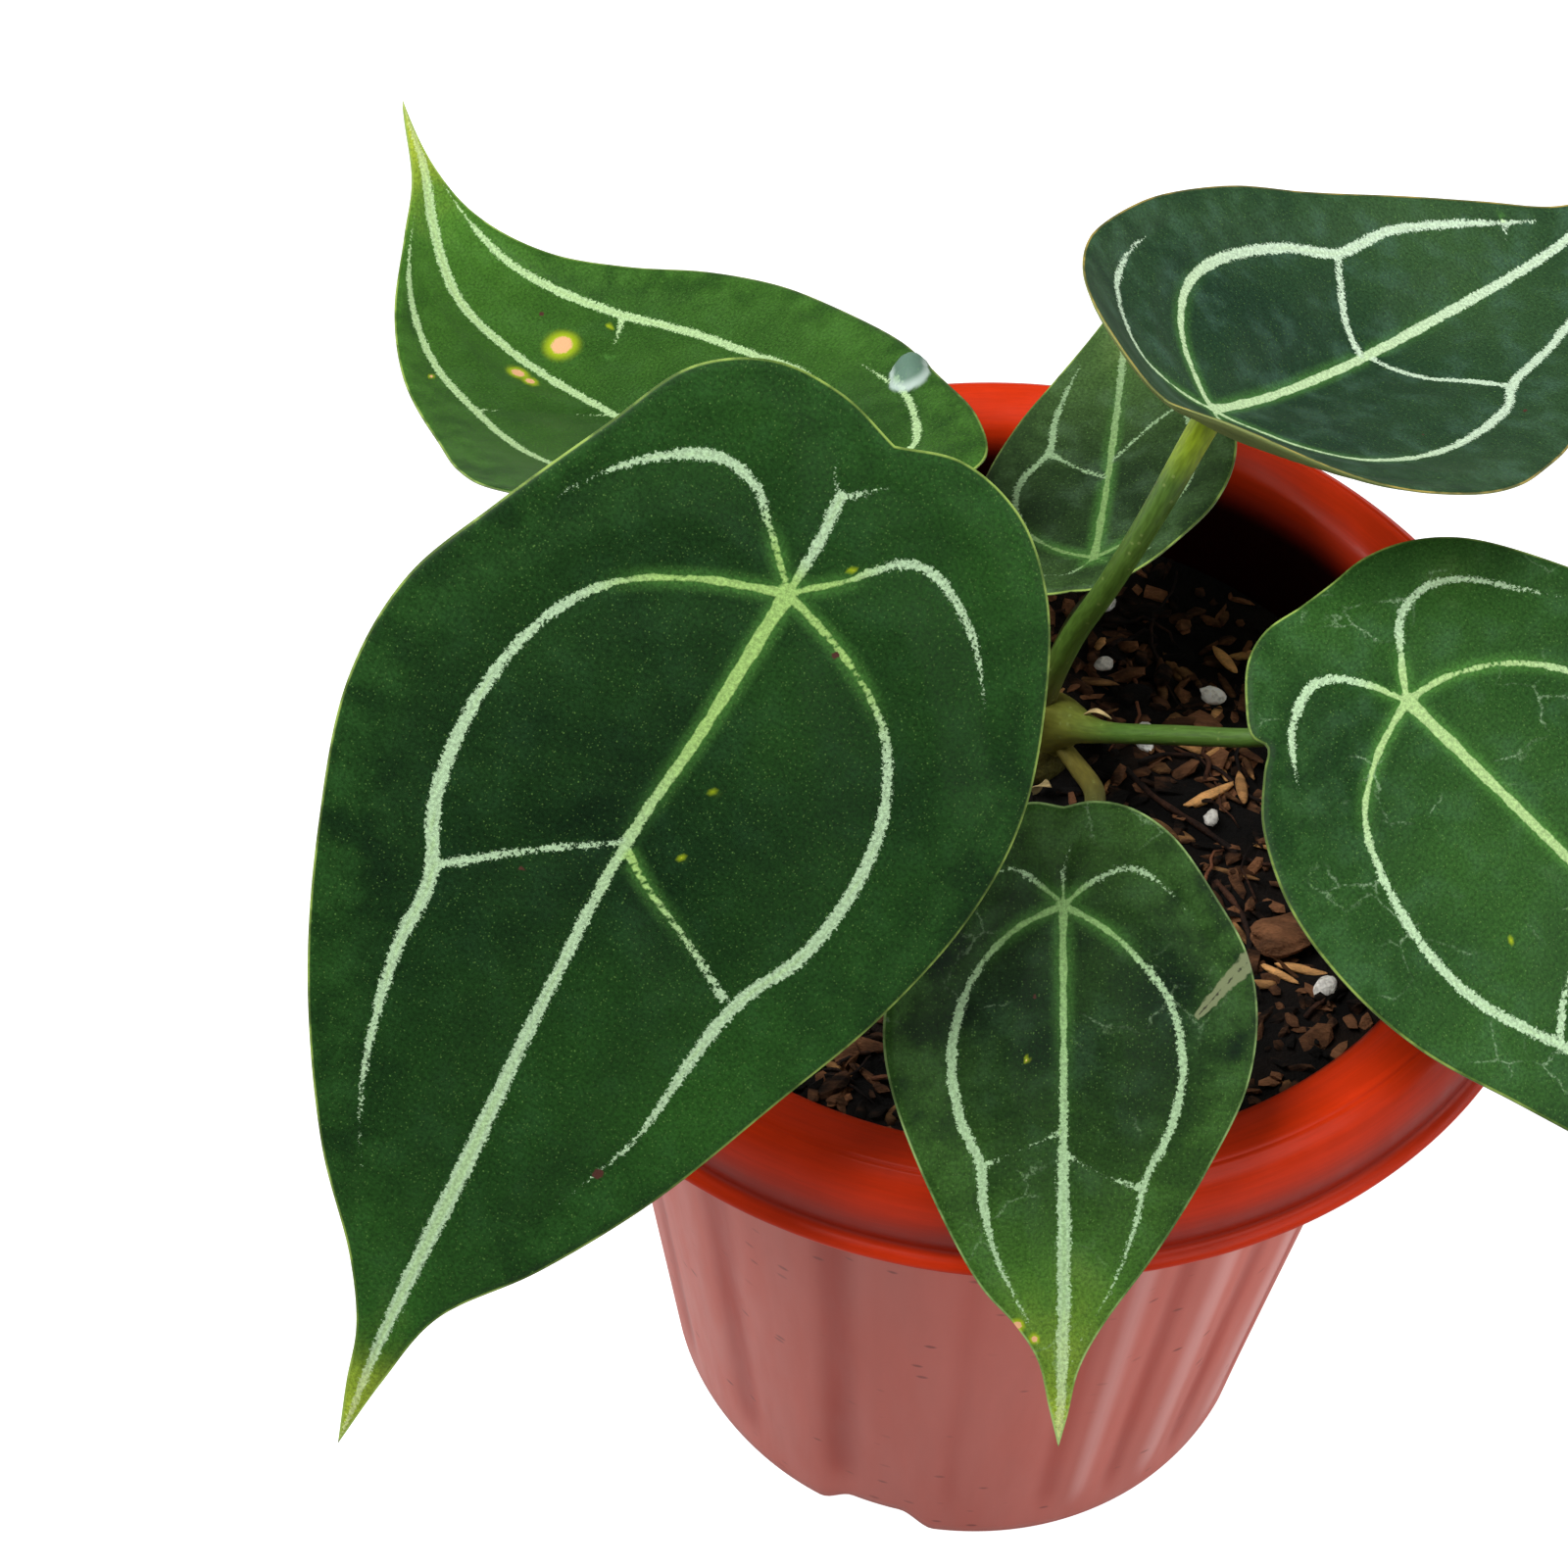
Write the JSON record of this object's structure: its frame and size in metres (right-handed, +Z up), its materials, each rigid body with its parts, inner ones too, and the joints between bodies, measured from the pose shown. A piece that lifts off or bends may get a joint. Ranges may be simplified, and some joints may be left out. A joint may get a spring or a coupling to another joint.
{
  "type": "potted plant",
  "caption": "Potted aroid house plant with velvety dark green peltate leaves and silvery veins on thin petioles, growing in a bark mix in a plastic nursery pot with a rolled rim",
  "frame": {"origin": "centre of the pot's flat base, on the ground", "axes": "+Z up; the pot is seen from -Y, and +X is to the right of that view"},
  "size_m": [0.2314, 0.213, 0.2345],
  "materials": {
    "pot": "terracotta red injection moulded plastic, satin",
    "potting_mix": "coarse dark bark mix",
    "stem": "short olive brown stem",
    "blade": "velvety dark green leaf with silvery veins",
    "petiole": "smooth mid green leaf stalk",
    "perlite": "chalky white expanded mineral",
    "bark": "rough brown bark",
    "husk": "dry tan husk",
    "twig": "thin dark root"
  },
  "bodies": {
    "root": {"pot": "pot", "potting_mix": "potting_mix", "stem": "stem", "blade_front_left": "blade", "blade_back_left": "blade", "blade_back_right": "blade", "blade_right": "blade", "blade_front": "blade", "blade_back": "blade", "petiole_front_left": "petiole", "petiole_back_left": "petiole", "petiole_back_right": "petiole", "petiole_right": "petiole", "petiole_front": "petiole", "petiole_back": "petiole", "perlite_1": "perlite", "perlite_2": "perlite", "perlite_3": "perlite", "perlite_4": "perlite", "perlite_5": "perlite", "bark_1": "bark", "bark_2": "bark", "bark_3": "bark", "bark_4": "bark", "bark_5": "bark", "husk_1": "husk", "husk_2": "husk", "husk_3": "husk", "husk_4": "husk", "husk_5": "husk", "husk_6": "husk", "twig_1": "twig", "twig_2": "twig", "twig_3": "twig"}
  },
  "joints": []
}
